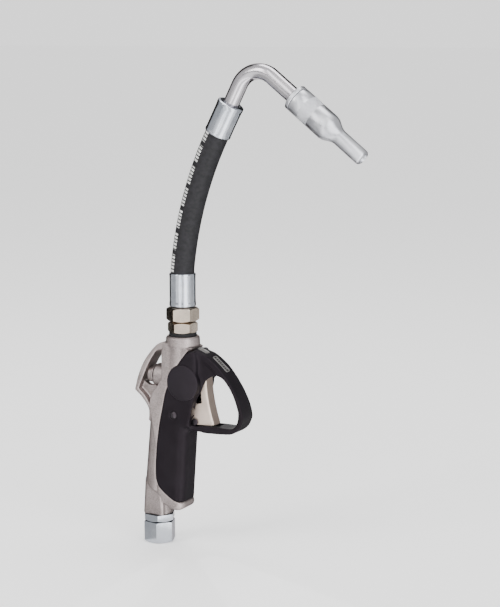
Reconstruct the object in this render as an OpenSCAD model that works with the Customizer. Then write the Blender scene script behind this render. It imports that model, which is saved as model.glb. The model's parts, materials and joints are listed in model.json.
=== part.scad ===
// Trigger-operated dispensing gun with a flexible spout and a shut-off tip.
// +Z runs up along the gun, +X points from the hand towards the trigger guard.
// The origin is the centre of the open face of the inlet nut.

/* [Inlet fittings] */
// Across flats of the inlet nut and swivel hexagons
inlet_af = 27; // [25:0.5:34]
// Radius of the inlet nut's thread
inlet_thread_r = 9.3; // [8.8:0.1:9.6]
// Length of the inlet nut
inlet_nut_h = 20; // [17:0.5:26]
// Length of thread in the inlet nut
inlet_thread_len = 8.5; // [7:0.5:11]
// Radius of the swivel spigot inside the nut
spigot_r = 8; // [7.4:0.1:8.4]
// Height of the swivel hexagon
swivel_hex_h = 6.8; // [5:0.2:10]
// Turn of the inlet nut about its own axis, in degrees
inlet_nut_turn = -10; // [-30:1:30]
// Turn of the swivel hexagon about its own axis, in degrees
swivel_turn = -5; // [-30:1:30]

/* [Casting] */
// Height from the casting's lower end to the valve axis
handle_len = 135.5; // [125:0.5:165]
// Radius of the round boss at the inlet
boss_r = 15; // [14:0.1:18]
// How much slimmer the spanner block is at its top
boss_taper = 2; // [0:0.1:3]
// Radius of the boss in front of the spanner block
boss_front_r = 12.9; // [12.4:0.1:13.5]
// Half the distance across the spanner flats
boss_flat = 11.6; // [11:0.1:14]
// Radius of the leaning column
column_r = 14; // [13:0.1:16]
// Half the width of the hanging hook
hook_half = 9.5; // [7:0.1:12]
// Half the thickness of the web that closes the hook's lower corner
hook_web_half = 3; // [2:0.1:5]
// Radius of the fluid passage in the column
passage_r = 5.5; // [4:0.1:6]

/* [Outlet] */
// Distance of the outlet axis from the inlet axis
outlet_x = 27.7; // [26:0.1:30]
// Radius of the outlet collar
collar_r = 16.3; // [15:0.1:18]
// Radius of the neck under the collar
neck_r = 15.5; // [14.5:0.1:16]
// Height of the outlet collar
collar_h = 9; // [6:0.2:14]
// Height of the collar's top above the valve axis
collar_top = 40.5; // [38:0.1:50]
// Across flats of the outlet adapter
adapter_af = 24.5; // [22:0.5:28]
// Height of the adapter's hexagon
adapter_hex_h = 10.3; // [8:0.1:16]
// Turn of the adapter about its own axis, in degrees
adapter_turn = 27; // [-30:1:30]
// Across flats of the hose nut
hose_nut_af = 27; // [25:0.5:32]
// Height of the hose nut
hose_nut_h = 13.4; // [11:0.2:20]
// Turn of the hose nut about its own axis, in degrees
hose_nut_turn = 26; // [-30:1:30]

/* [Valve] */
// Wall of the rear valve boss
valve_wall = 3.1; // [2.4:0.1:5]
// Radius of the rear plug's head
plug_head_r = 7.7; // [6:0.1:8]
// Radius of the valve chamber
chamber_r = 8; // [7.5:0.1:8.2]
// Radius of the valve stem
stem_r = 2.5; // [2:0.1:3]
// Bore of the valve seat
seat_bore_r = 4.6; // [4:0.1:5]

/* [Covers] */
// Half the width of the grip covers
cover_half = 15; // [14.6:0.1:18]
// Wall of the grip covers
cover_wall = 2.5; // [1.8:0.1:2.6]
// Half the width of the guard's rail
guard_half = 10; // [9.6:0.1:13]
// Half the width of the recessed web
web_half = 9; // [8.6:0.1:9.4]
// Rounding of the grip's front corners
grip_round = 9; // [5:0.5:11]
// Radius of the round side caps
cap_r = 16.7; // [14:0.1:18]
// How far the side caps stand out of the covers
cap_proud = 2.2; // [1:0.1:4]
// Radius of the cover screw's head
screw_head_r = 3.7; // [3:0.1:4.5]
// Radius of the cover screw's shank
screw_r = 1.9; // [1.5:0.1:2.2]

/* [Trigger] */
// Half the width of the trigger channel
trigger_half = 6.7; // [6:0.1:6.8]
// Sheet thickness of the trigger
trigger_sheet = 2; // [1.5:0.1:2.2]
// Radius of the trigger's pivot pin
pivot_pin_r = 2.5; // [2:0.1:3]
// Radius of the hold-open latch's hub
latch_hub_r = 3.2; // [2.8:0.1:3.4]

/* [Hose] */
// Radius of the hose
hose_r = 11.1; // [9.5:0.1:12]
// Radius of the hose's bore
hose_bore_r = 6.35; // [5.5:0.05:7]
// Wall of the crimped ferrules
ferrule_wall = 1.4; // [1.1:0.1:3]
// Length of a ferrule
ferrule_len = 31.5; // [24:0.5:40]
// Radius of the tighter bend above the lower ferrule
hose_bend_1 = 60; // [50:1:260]
// Angle of the tighter bend
hose_turn_1 = 6.5; // [3:0.5:24]
// Radius of the easier bend
hose_bend_2 = 355; // [300:1:600]
// Angle of the easier bend
hose_turn_2 = 21; // [6:0.5:26]

/* [Spout] */
// Outside radius of the spout tube
tube_r = 7.4; // [6:0.1:8]
// Bore of the spout tube
tube_bore_r = 4.6; // [3.5:0.1:5]
// Straight part of the tube above the upper ferrule
tube_leg_1 = 19; // [10:0.5:40]
// Straight part of the tube before the tip
tube_leg_2 = 27.5; // [15:0.5:50]
// Centreline radius of the tube's bend
tube_bend = 22; // [18:0.5:40]
// Angle of the tube's bend
tube_turn = 100.2; // [80:0.2:120]

/* [Shut-off tip] */
// Radius of the sleeve and its collar ring
tip_r = 12.5; // [11:0.1:15]
// Length of the collar ring
tip_collar_len = 4.6; // [3:0.1:8]
// Overall length of the tip
tip_len = 86; // [70:1:110]
// Radius of the narrow end
tip_end_r = 7.2; // [6:0.1:9]
// Bore of the narrow end
tip_bore_r = 4.6; // [3.5:0.1:5.5]
// Start of the knurled band
knurl_start = 16; // [10:0.5:24]
// Length of the knurled band
knurl_len = 11; // [6:0.5:16]

/* [Hidden] */
$fn = 96;

// Clearances and small allowances
run_gap = 0.05;      // radial running clearance on pins and spigots
fit_gap = 0.02;      // radial clearance of threads, push fits and crimped joints
part_gap = 0.3;      // between faces that must never rub
seat_gap = 0.05;     // between sealing faces
screw_gap = 0.2;     // around the cover screw's shank
join_step = 0.05;    // step where a straight stretch meets a bend
join_lap = 0.6;      // overlap of two stretches that meet
bore_past = 1;       // how far a bore runs past a face it opens in
washer_h = 1.2;
seal_h = 0.2;

// Heights along the inlet
relief_r = inlet_thread_r + 0.3;
ring_groove_r = spigot_r - 0.9;
ring_h = 2.2;
spigot_z = inlet_thread_len + washer_h + 0.1;
ring_z = spigot_z + 1.2;
shoulder_z = ring_z + ring_h + 0.5;
hex_z = inlet_nut_h + 0.6;
body_z = hex_z + swivel_hex_h + seal_h;
swivel_bore_r = 5.2;
swivel_thread_r = 10.4;
swivel_thread_len = 14;
strainer_len = 16;
strainer_wall = 0.6;

// Column: a leaning cylinder from the boss to the valve
column_lean = 5.4;
column_x0 = -1.4;
column_len = (handle_len - 12) / cos(column_lean);
boss_h = 30;
foot_lip = 0.8;

// Valve axis runs along X at this height
valve_z = body_z + handle_len;
valve_boss_r = chamber_r + valve_wall;
valve_boss_x = 0.5;
plug_head_x = -8.4;
plug_head_h = 5.5;
plug_flange_r = valve_boss_r - 1.2;
plug_flange_h = valve_boss_x - plug_head_x - 1.4;
plug_len = 16;
plug_cup_r = chamber_r - 2.2;
plug_floor_h = 11;
plug_key_af = 6;
chamber_end_x = 17;
seat_len = 3.5;
seat_x = chamber_end_x;
front_bore_r = 6.4;
gland_x = 36;
gland_thread_r = 5.6;
gland_hex_af = 11;
gland_face_x = 43.6;
core_front_x = 40;
stem_tip_x = 54.5;
spring_r = 4.5;
spring_wire_r = 0.6;
spring_turns = 5;
poppet_r = chamber_r - 1.2;
poppet_len = 4;
poppet_x = seat_x - seat_gap - 0.8 - poppet_len;

// Outlet stack
collar_z = valve_z + collar_top;
outlet_thread_r = 9.6;
outlet_thread_len = 15;
seal_ring_h = 3.1;
seal_ring_depth = 1.6;
adapter_z = collar_z + seal_ring_h;
nut_z = adapter_z + adapter_hex_h + part_gap;
adapter_spigot_r = 10.4;
adapter_spigot_len = 7.5;
tail_z = nut_z + adapter_spigot_len;
ferrule_z = nut_z + hose_nut_h + part_gap;
tail_r = hose_bore_r + 1.85;
tail_bore_r = 4.6;
adapter_bore_r = 6;
ferrule_r = hose_r + run_gap + ferrule_wall;
ferrule_floor = 4;
ferrule_bore_len = ferrule_len - ferrule_floor;
hose_grip = ferrule_bore_len - part_gap;
hose_z = ferrule_z + ferrule_len;

// Centreline of the spout: every point is [x, z], every heading is degrees from +Z towards +X
function heading(a) = [sin(a), cos(a)];
function after_bend(p, a, r, turn) = p + r * [cos(a) - cos(a + turn), sin(a + turn) - sin(a)];
hose_p0 = [outlet_x, hose_z];
hose_p1 = after_bend(hose_p0, 0, hose_bend_1, hose_turn_1);
hose_p2 = after_bend(hose_p1, hose_turn_1, hose_bend_2, hose_turn_2);
lean = hose_turn_1 + hose_turn_2;
ferrule2_p = hose_p2 + ferrule_len * heading(lean);
bend_p = ferrule2_p + tube_leg_1 * heading(lean);
bend_q = after_bend(bend_p, lean, tube_bend, tube_turn);
tip_heading = lean + tube_turn;
tip_p = bend_q + tube_leg_2 * heading(tip_heading);

// Inside the tip, along its own axis
tip_core_r = tube_r + 1.6;
tip_core_len = 36;
tip_seat_s = 46;
tip_taper_s = 42;
tip_taper_len = 15.5;
tip_ring_r = 0.95;
tip_groove_depth = 2 * tip_ring_r + fit_gap;
tip_groove_len = 2.4;
tip_stem_r = 1.4;
tip_stem_s = 10;
tip_guide_s = 12;
tip_guide_half = tube_bore_r - 0.4;
tip_head_r = tip_bore_r - 0.6;
tip_seat_bore_r = tip_bore_r - 1.2;
tip_groove_s = tip_core_len - 6;
tip_socket_len = 2;
groove_w = 0.6;
groove_depth = 0.25;
sleeve_z = tip_collar_len + part_gap;

// Trigger pivot and the other places set from the valve axis
pivot = [52, valve_z + 15];
latch_p = [44.8, valve_z - 39.7];
screw_p = [24.9, valve_z - 34.4];
cap_p = [35.9, valve_z - 2.3];
lug_half = 3;
side_half = cover_half - 0.6;
lug_r = 5.5;
screw_lug_r = 3.6;
plate_in = trigger_half - trigger_sheet;
screw_lug_half = plate_in - part_gap;
latch_pin_r = 1.25;
latch_head_h = 1.9;
trigger_room = trigger_half + 0.5;
latch_room = trigger_half + 0.05 + latch_head_h + part_gap;

// A smooth curve through a few points, with a given number of steps between neighbours
function spline_at(a, b, c, d, t) =
    (2 * b + (c - a) * t + (2 * a - 5 * b + 4 * c - d) * t * t + (3 * b - a - 3 * c + d) * t * t * t) / 2;
function smooth(p, steps) = [
    for (i = [0:len(p) - 2]) for (s = [0:steps - 1])
        spline_at(p[max(i - 1, 0)], p[i], p[i + 1], p[min(i + 2, len(p) - 1)], s / steps),
    p[len(p) - 1]
];
// Places measured from the valve axis, and from the casting's lower end
function up(x, z) = [x, valve_z + z];
function low(x, z) = [x, body_z + z];

// Left edge of the covers, from the top of the guard down to the foot
cover_edge = smooth([
    up(46, 29.4), up(41.5, 28.4), up(36.5, 22.3), up(31, 14.6), up(18.4, -9), up(13.6, -27),
    up(8.7, -51.3), low(5.8, 60), low(5, 44), low(6, 34.5), low(9.6, 28.6), low(17.2, 22.6),
    low(25.5, 18), low(33.4, 16.6)
], 5);
grip_front_low = low(33.6, 16.6);
grip_front_high = up(38.4, -49);
grip_lean = atan((grip_front_high[0] - grip_front_low[0]) / (grip_front_high[1] - grip_front_low[1]));
// Side shape of the grip's skin, closed past the grip's front and along the window
past_front = [4, 0];
grip_outline = concat(cover_edge, [
    grip_front_low + past_front, grip_front_high + past_front, up(42.6, -40), up(43.8, -34), up(45.4, -24),
    up(48.2, -15), up(50, -4), up(50, 18), up(48.5, 27.5)
]);
guard_outer = smooth([
    up(39, 29.2), up(46, 29.6), up(53, 27), up(61.8, 22.6), up(71.8, 15), up(80.6, 5), up(88.6, -6.7),
    up(94.7, -19), up(97.4, -29.6), up(96, -36), up(92.6, -41.6), up(86, -46.4), up(77, -47.9),
    up(60, -48.8), up(36, -49)
], 4);
window_edge = smooth([
    up(43, -42), up(43.8, -36), up(46.7, -21.5), up(52.6, -11.5), up(56.6, -2.2), up(59.6, 3),
    up(65, 6.2), up(71, 6.7), up(77.6, 3.4), up(86, -8.3), up(91.4, -22), up(92.3, -29),
    up(90.6, -36.4), up(86.6, -41), up(80, -42)
], 4);
// Depth of the rail beside the recessed web
rail_depth = 6.5;
// Label plates on the guard's outer face: centre, lean and length
label_half = 3.3;
label_h = 0.9;
label_gap = 0.1;
label_1_p = up(50.5, 28.1);
label_1_lean = 21;
label_1_len = 11;
label_2_p = up(69.6, 17.1);
label_2_lean = 40;
label_2_len = 20;
// Space inside the covers that the trigger swings through
trigger_space = [
    up(24, -44.4), up(68.5, -44.4), up(68.5, -38), up(60.5, 2), up(60.5, 17), up(57, 23.5), up(46, 23.5),
    up(24, 23.5)
];
// Space that the latch pin's heads swing through
latch_space = [
    up(29, -43.5), up(46.6, -43.5), up(48.5, -41.6), up(48.5, -37.8), up(46.6, -35.9), up(29, -31.5)
];
// Trigger: front edge from top to bottom, then the rear edge back up
trigger_front = smooth([
    up(57, 6), up(56.9, 0.8), up(57.5, -8.9), up(58.9, -17.9), up(60.9, -26.8), up(63.4, -35.7),
    up(65.4, -41.5)
], 4);
trigger_rear = [
    up(45.4, -42.6), up(41.4, -40.4), up(39.4, -36.5), up(39.8, -29.5), up(40.8, -23.4), up(51.6, -21.2),
    up(50.6, -12.7), up(49.4, -2), up(47.6, 9)
];

// Hook: outer edge and the hole inside it
hook_outer = concat(
    smooth([up(22, 35.4), up(12, 34), up(4.6, 31), up(-2.6, 23.8), up(-9, 15.6), up(-13.8, 6.8),
            up(-17.8, -3.2), up(-21, -15.3)], 5),
    smooth([up(-17, -18.4), up(-12.6, -22.4), up(-8.4, -27.4), up(-5.4, -33.5), up(-5.6, -44)], 4),
    [up(10, -44)]
);
hook_inner = concat(
    smooth([up(12.2, 26), up(4.4, 25), up(-1.4, 17.6), up(-6.6, 9.2), up(-11.1, -0.8), up(-16.6, -13.7)], 4),
    smooth([up(-13.2, -16.6), up(-9, -20.8), up(-4.6, -27.2), up(-2.4, -31.4)], 4),
    [up(-1.6, -27), up(-0.6, -20.8), up(3, -13), up(7, -8.4), up(12.2, 0)]
);
// Web in the hook's lower corner, below the valve boss
web_top = 0.7 - valve_boss_r;
hook_web = [up(-17.6, web_top + 5.8), up(-9, web_top), up(8, web_top), up(8, -34), up(-4, -33), up(-19.6, -15.6)];
// Spanner block at the inlet, below a sloping ridge
block_outline = [low(-30, -1), low(10.6, -1), low(10.6, 19.4), low(-5.4, 30.2), low(-30, 46)];
// Side shape of the casting's core between column, valve and neck
core_outline = [
    low(14, 44), up(24.6, -36), up(25.4, -14), up(29, -11), up(core_front_x, -11), up(core_front_x, 20),
    up(43, 25), up(43.4, 28.6), up(36, 32), up(15, 34), up(12.2, 26), up(12.2, 0), up(-3, -20), low(5, 70)
];
foot_outline = concat(
    smooth([low(7, 23), low(12, 15.5), low(17, 10.8), low(23, 8.4), low(29, 8), low(33, 10.6),
            low(34.6, 15.6)], 4),
    [low(34.6, 21), low(30, 40), low(7, 40)]
);

// ---- shared shapes ----

// Extrudes a side shape across the gun, from y0 to y1
module across(y0, y1) {
    translate([0, y1, 0]) rotate([90, 0, 0]) linear_extrude(y1 - y0) children();
}

// Places children at [x, z] with their own +Z along a heading
module at(p, a = 0) {
    translate([p[0], 0, p[1]]) rotate([0, a, 0]) children();
}

// Places children on the valve axis with their own +Z along +X
module on_valve(x) {
    translate([x, 0, valve_z]) rotate([0, 90, 0]) children();
}

// A round pin or hole across the gun
module cross_pin(p, r, half) {
    translate([p[0], half, p[1]]) rotate([90, 0, 0]) cylinder(r = r, h = 2 * half);
}

module hexagon(af, h) {
    cylinder(r = af / sqrt(3), h = h, $fn = 6);
}

// A hexagon with its corners turned off at the ends asked for
module turned_hex(af, h, low_cut, high_cut) {
    corner = af / sqrt(3);
    intersection() {
        hexagon(af, h);
        rotate_extrude() polygon([
            [0, 0], [corner - low_cut, 0], [corner + 0.01, low_cut * tan(30)],
            [corner + 0.01, h - high_cut * tan(30)], [corner - high_cut, h], [0, h]
        ]);
    }
}

module tube(r, bore, h) {
    difference() {
        cylinder(r = r, h = h);
        translate([0, 0, -1]) cylinder(r = bore, h = h + 2);
    }
}

module o_ring(mean_r, wire_r) {
    rotate_extrude() translate([mean_r, 0]) circle(r = wire_r, $fn = 24);
}

// Round bar bent in the side plane, starting upwards at the origin and turning towards +X
module bent_bar(bend, turn, r) {
    translate([bend, 0, 0]) rotate([90, 0, 180])
        rotate_extrude(angle = turn) translate([bend, 0]) circle(r = r);
}

// Coil spring swept along Z
module coil(mean_r, wire_r, h, turns) {
    per_turn = 14;
    sides = 8;
    rings = turns * per_turn;
    pitch = (h - 2 * wire_r) / turns;
    points = [
        for (i = [0:rings]) for (j = [0:sides - 1])
            let (a = i * 360 / per_turn, b = j * 360 / sides, r = mean_r + wire_r * cos(b))
            [r * cos(a), r * sin(a), wire_r + pitch * i / per_turn + wire_r * sin(b)]
    ];
    sides_of_tube = [
        for (i = [0:rings - 1]) for (j = [0:sides - 1])
            let (k = (j + 1) % sides)
            [i * sides + j, i * sides + k, (i + 1) * sides + k, (i + 1) * sides + j]
    ];
    ends = [[for (j = [sides - 1:-1:0]) j], [for (j = [0:sides - 1]) rings * sides + j]];
    polyhedron(points, concat(sides_of_tube, ends), convexity = 6);
}

// ---- inlet ----

module inlet_nut() {
    color("#d9dee2") difference() {
        rotate([0, 0, inlet_nut_turn]) turned_hex(inlet_af, inlet_nut_h, 2, 1);
        translate([0, 0, -1]) cylinder(r = inlet_thread_r, h = inlet_thread_len + 1);
        translate([0, 0, inlet_thread_len]) cylinder(r = relief_r, h = shoulder_z - inlet_thread_len);
        cylinder(r = spigot_r + run_gap, h = inlet_nut_h + 1);
    }
}

module inlet_washer() {
    color("#2b2b2b") translate([0, 0, spigot_z - washer_h])
        tube(inlet_thread_r - part_gap, swivel_bore_r, washer_h);
}

module inlet_swivel_body() {
    color("#dfe3e5") difference() {
        union() {
            translate([0, 0, spigot_z]) cylinder(r = spigot_r, h = hex_z - spigot_z + 1);
            translate([0, 0, hex_z]) rotate([0, 0, swivel_turn]) turned_hex(inlet_af, swivel_hex_h, 2.4, 0.4);
            translate([0, 0, body_z - seal_h - 1])
                cylinder(r = swivel_thread_r, h = swivel_thread_len + seal_h + 1);
        }
        translate([0, 0, ring_z]) tube(spigot_r + 1, ring_groove_r, ring_h);
        translate([0, 0, spigot_z - 1]) cylinder(r = swivel_bore_r, h = 60);
    }
}

module nut_retaining_ring() {
    color("#8f9499") translate([0, 0, ring_z]) tube(inlet_thread_r - part_gap, ring_groove_r, ring_h);
}

module inlet_seal() {
    color("#1c1c1c") translate([0, 0, body_z - seal_h]) tube(boss_r - 2, swivel_thread_r, seal_h);
}

module inlet_strainer() {
    strainer_r = passage_r - 0.4;
    color("#b9a06a") translate([0, 0, body_z + swivel_thread_len]) union() {
        tube(swivel_thread_r - 0.6, strainer_r - strainer_wall, 1);
        difference() {
            cylinder(r = strainer_r, h = strainer_len);
            translate([0, 0, -1]) cylinder(r = strainer_r - strainer_wall, h = strainer_len);
            for (k = [0:3]) for (a = [0:60:120])
                translate([0, 0, 3 + k * 3]) rotate([0, 90, a]) cylinder(r = 0.9, h = 40, center = true);
        }
    }
}

// ---- casting ----

module column(r, from = 0, to = 0) {
    translate([column_x0, 0, body_z]) rotate([0, column_lean, 0])
        translate([0, 0, from]) cylinder(r = r, h = column_len - from - to);
}

// What the covers take out of the casting: their skin, their front wall and the gap to them
module cover_cut() {
    difference() {
        across(-30, 30) offset(delta = part_gap) union() {
            polygon(grip_outline);
            translate(cap_p) circle(r = cap_r);
        }
        grip_room(cover_wall + part_gap);
    }
}

// Round boss with the spanner block standing out behind it
module inlet_boss() {
    translate([0, 0, body_z]) cylinder(r = boss_front_r, h = boss_h);
    intersection() {
        translate([0, 0, body_z]) cylinder(r1 = boss_r, r2 = boss_r - boss_taper, h = boss_h + 8);
        across(-boss_flat, boss_flat) polygon(block_outline);
    }
}

module body_casting() {
    color("#b9b1ae") difference() {
        union() {
            difference() {
                union() {
                    inlet_boss();
                    column(column_r, from = boss_h - 8);
                    intersection() {
                        across(-side_half, side_half) polygon(foot_outline);
                        grip_room(-foot_lip);
                    }
                    across(-side_half, side_half) polygon(core_outline);
                    at([outlet_x, valve_z - 12]) cylinder(r = neck_r, h = collar_top - collar_h + 13);
                }
                cover_cut();
                for (y = [-20, hook_web_half]) across(y, y + 20 - hook_web_half) polygon(hook_inner);
            }
            across(-hook_half, hook_half) difference() {
                polygon(hook_outer);
                polygon(hook_inner);
            }
            across(-hook_web_half, hook_web_half) polygon(hook_web);
            at([outlet_x, collar_z - collar_h]) rotate_extrude() polygon([
                [0, 0], [collar_r, 0], [collar_r - 0.4, collar_h - 1.6], [collar_r - 2, collar_h],
                [0, collar_h]
            ]);
            on_valve(valve_boss_x) cylinder(r = valve_boss_r, h = chamber_end_x);
            across(-lug_half, lug_half) trigger_lug();
            cross_pin(screw_p, screw_lug_r, screw_lug_half);
        }
        // spanner flats
        for (y = [-boss_flat - 20, boss_flat]) across(y, y + 20) polygon(block_outline);
        // inlet bore, passage, valve chamber, front bore and outlet
        translate([0, 0, body_z - 1]) cylinder(r = swivel_thread_r, h = swivel_thread_len + 2);
        translate([0, 0, body_z]) cylinder(r = passage_r, h = swivel_thread_len + strainer_len + 4);
        column(passage_r, from = swivel_thread_len + 10, to = -3);
        on_valve(valve_boss_x - 1) cylinder(r = chamber_r, h = chamber_end_x + seat_len - valve_boss_x + 1);
        on_valve(chamber_end_x) cylinder(r = front_bore_r, h = gland_x - chamber_end_x + 0.5);
        on_valve(gland_x) cylinder(r = gland_thread_r, h = 30);
        at([outlet_x, valve_z]) cylinder(r = front_bore_r, h = collar_top);
        at([outlet_x, collar_z - outlet_thread_len]) cylinder(r = outlet_thread_r, h = outlet_thread_len + 1);
        at([outlet_x, collar_z - seal_ring_depth]) cylinder(r = collar_r - 3.1, h = 5);
        // pivot and cover screw holes
        cross_pin(pivot, pivot_pin_r, lug_half + 1);
        cross_pin(screw_p, screw_r + screw_gap, cover_half);
    }
}

// Side shape of the lug that carries the trigger's pivot
module trigger_lug() {
    difference() {
        union() {
            translate(pivot) circle(r = lug_r);
            polygon([up(30, 9.5), up(pivot[0], 9.5), up(pivot[0], 20.5), up(44, 24), up(30, 24)]);
        }
        polygon([up(core_front_x, 0), up(60, 0), up(60, 9.5), up(core_front_x, 9.5)]);
    }
}

// ---- valve ----

module valve_rear_plug() {
    color("#c9c4bf") difference() {
        on_valve(plug_head_x) rotate_extrude() polygon([
            [0, 0], [plug_head_r - 1.5, 0], [plug_head_r, 1.2], [plug_head_r, plug_head_h],
            [plug_flange_r, plug_head_h + 0.9], [plug_flange_r, plug_flange_h],
            [chamber_r - run_gap, plug_flange_h], [chamber_r - run_gap, plug_len],
            [plug_cup_r, plug_len], [plug_cup_r, plug_floor_h], [0, plug_floor_h]
        ]);
        on_valve(plug_head_x - 1) hexagon(plug_key_af, 5);
    }
}

module rear_plug_o_ring() {
    color("#1c1c1c") on_valve(valve_boss_x - 0.7) o_ring(chamber_r + 0.9, 0.68);
}

module valve_spring() {
    color("#a8adb2") on_valve(plug_head_x + plug_floor_h + 0.1)
        coil(spring_r, spring_wire_r, poppet_x - plug_head_x - plug_floor_h - 0.2, spring_turns);
}

module valve_poppet() {
    color("#b08d57") on_valve(poppet_x) difference() {
        union() {
            cylinder(r = poppet_r, h = poppet_len);
            translate([0, 0, -1.6]) cylinder(r = 3.4, h = 2);
        }
        translate([0, 0, -2]) cylinder(r = stem_r - 0.9, h = poppet_len + 4);
    }
}

module valve_seal() {
    color("#262626") on_valve(poppet_x + poppet_len) tube(poppet_r - 0.5, stem_r - 0.9, 0.8);
}

module valve_seat() {
    color("#b79a5e") on_valve(seat_x) tube(chamber_r - fit_gap, seat_bore_r, seat_len);
}

module valve_stem() {
    color("#c7ccd0") on_valve(poppet_x - 1.6) rotate_extrude() polygon(concat(
        [[0, 0], [stem_r - 0.9, 0], [stem_r - 0.9, poppet_len + 2.4], [stem_r, poppet_len + 2.4]],
        [for (a = [0:15:90]) [stem_r * cos(a), stem_tip_x - poppet_x + 1.6 - stem_r + stem_r * sin(a)]]
    ));
}

module stem_gland() {
    color("#b79a5e") difference() {
        union() {
            on_valve(gland_x + 0.5) cylinder(r = gland_thread_r - fit_gap, h = gland_face_x - gland_x - 1);
            on_valve(core_front_x + 0.2) rotate([0, 0, 30])
                hexagon(gland_hex_af, gland_face_x - core_front_x - 0.2);
        }
        on_valve(gland_x) cylinder(r = stem_r + run_gap, h = 12);
        on_valve(gland_x) cylinder(r = stem_r + 2.1, h = 2.7);
    }
}

module stem_o_ring() {
    color("#1c1c1c") on_valve(gland_x + 1.7) o_ring(stem_r + 1.06, 0.98);
}

// ---- trigger ----

module trigger_plate() {
    difference() {
        union() {
            polygon(concat(trigger_front, trigger_rear));
            translate(pivot) circle(r = 5.6);
            polygon([up(46.6, 4), up(57, 4), up(57.6, 15), up(46.4, 15)]);
            translate(latch_p) circle(r = latch_hub_r - 0.2);
        }
        translate(latch_p) circle(r = latch_pin_r);
    }
}

module trigger() {
    color("#cdbfb2") difference() {
        union() {
            for (s = [-1, 1]) translate([0, s * (plate_in + trigger_sheet / 2), 0])
                across(-trigger_sheet / 2, trigger_sheet / 2) trigger_plate();
            across(-trigger_half, trigger_half) intersection() {
                difference() {
                    polygon(concat(trigger_front, trigger_rear));
                    translate([-trigger_sheet, 0.6])
                        polygon(concat(trigger_front, [up(40, -50), up(40, 30)]));
                }
                translate(up(50, -50)) square([30, 56]);
            }
        }
        cross_pin(pivot, pivot_pin_r + run_gap, trigger_half + 1);
    }
}

module trigger_pivot_pin() {
    color("#9aa0a6") cross_pin(pivot, pivot_pin_r, trigger_half + 0.3);
}

module hold_open_latch() {
    color("#1b1b1d") difference() {
        union() {
            cross_pin(latch_p, latch_hub_r, plate_in - part_gap);
            across(-plate_in + 1.4, plate_in - 1.4) polygon([
                latch_p + [-2.6, 0], latch_p + [2.6, 0], latch_p + [4.4, 10], latch_p + [1.2, 11.4],
                latch_p + [-1.6, 8]
            ]);
        }
        cross_pin(latch_p, latch_pin_r + run_gap, trigger_half + 4);
    }
}

// The latch's pin, riveted in the trigger with a broad round head on each side
module latch_pin() {
    color("#1b1b1d") union() {
        cross_pin(latch_p, latch_pin_r, trigger_half + 1);
        for (s = [-1, 1]) translate([latch_p[0], s * (trigger_half + 0.05 + latch_head_h / 2), latch_p[1]])
            rotate([90, 0, 0]) cylinder(r = latch_hub_r, h = latch_head_h, center = true);
    }
}

// ---- covers ----

// Space within the rounded grip, leaning with its front edge; inset moves every wall inwards
module grip_room(inset) {
    h = 2 * (grip_front_high[1] - grip_front_low[1]);
    half = cover_half - inset;
    r = max(grip_round - inset, 0.5);
    translate([grip_front_low[0], 0, grip_front_low[1]]) rotate([0, grip_lean, 0])
        translate([-inset, 0, -h / 2]) union() {
            translate([-60, -half, 0]) cube([60 - r, 2 * half, 2 * h]);
            translate([-60, -half + r, 0]) cube([60, 2 * (half - r), 2 * h]);
            for (s = [-1, 1]) translate([-r, s * (half - r), 0]) cylinder(r = r, h = 2 * h);
        }
}

module guard_shape() {
    difference() {
        polygon(concat(guard_outer, [up(36, 10)]));
        polygon(window_edge);
    }
}

// Both covers as one solid, before the split at the mid-plane
module cover_body() {
    difference() {
        union() {
            intersection() {
                across(-cover_half, cover_half) polygon(grip_outline);
                grip_room(0);
            }
            across(-cover_half, cover_half) cover_shoulder();
            across(-web_half, web_half) guard_shape();
            across(-guard_half, guard_half) difference() {
                guard_shape();
                offset(delta = -rail_depth) polygon(concat(guard_outer, [up(36, 10)]));
            }
        }
        // hollow behind the grip's skin, and the wider hollow above the guard's foot
        grip_room(cover_wall);
        across(-cover_half + cover_wall + 0.4, cover_half - cover_wall - 0.4) polygon([
            up(20, -43.8), up(39, -43.8), up(45, -30), up(44, -12), up(44, 60), up(20, 60)
        ]);
        across(-trigger_room, trigger_room) polygon(trigger_space);
        across(-latch_room, latch_room) polygon(latch_space);
        // the screw's way through, and the seats of its head and nut
        cross_pin(screw_p, screw_r + screw_gap, cover_half + 1);
        for (s = [-1, 1]) translate([screw_p[0], s * cover_half, screw_p[1]])
            rotate([90, 0, 0]) cylinder(r = screw_head_r + 0.3, h = 2.6, center = true);
        // beds of the label plates
        label_bed(label_1_p, label_1_lean, label_1_len + 2 * label_gap);
        label_bed(label_2_p, label_2_lean, label_2_len + 2 * label_gap);
    }
}

// Side shape of the covers from the guard's foot to the top, with the seat of the side cap
module cover_shoulder() {
    intersection() {
        union() {
            polygon(grip_outline);
            intersection() {
                translate(cap_p) circle(r = cap_r);
                translate(cap_p + [-6, -30]) square([40, 60]);
            }
        }
        translate(up(-20, -45.3)) square([90, 110]);
    }
}

module left_cover() {
    color("#242227") difference() {
        cover_body();
        translate([-100, -0.02, -10]) cube([300, 100, 400]);
    }
}

module right_cover() {
    color("#242227") mirror([0, 1, 0]) left_cover();
}

// Domed cap; its own +Z points out of the gun
module side_cap() {
    dome_r = (cap_r * cap_r + 1) / 2;
    rotate_extrude() polygon(concat(
        [[0, 0], [cap_r, 0], [cap_r, cap_proud - 0.5]],
        [for (k = [0:8]) let (x = (cap_r - 0.6) * (1 - k / 8))
            [x, cap_proud + sqrt(dome_r * dome_r - x * x) - dome_r]]
    ));
}

module left_side_cap() {
    color("#1f1e21") translate([cap_p[0], -cover_half, cap_p[1]]) rotate([90, 0, 0]) side_cap();
}

module right_side_cap() {
    color("#1f1e21") translate([cap_p[0], cover_half, cap_p[1]]) rotate([-90, 0, 0]) side_cap();
}

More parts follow.
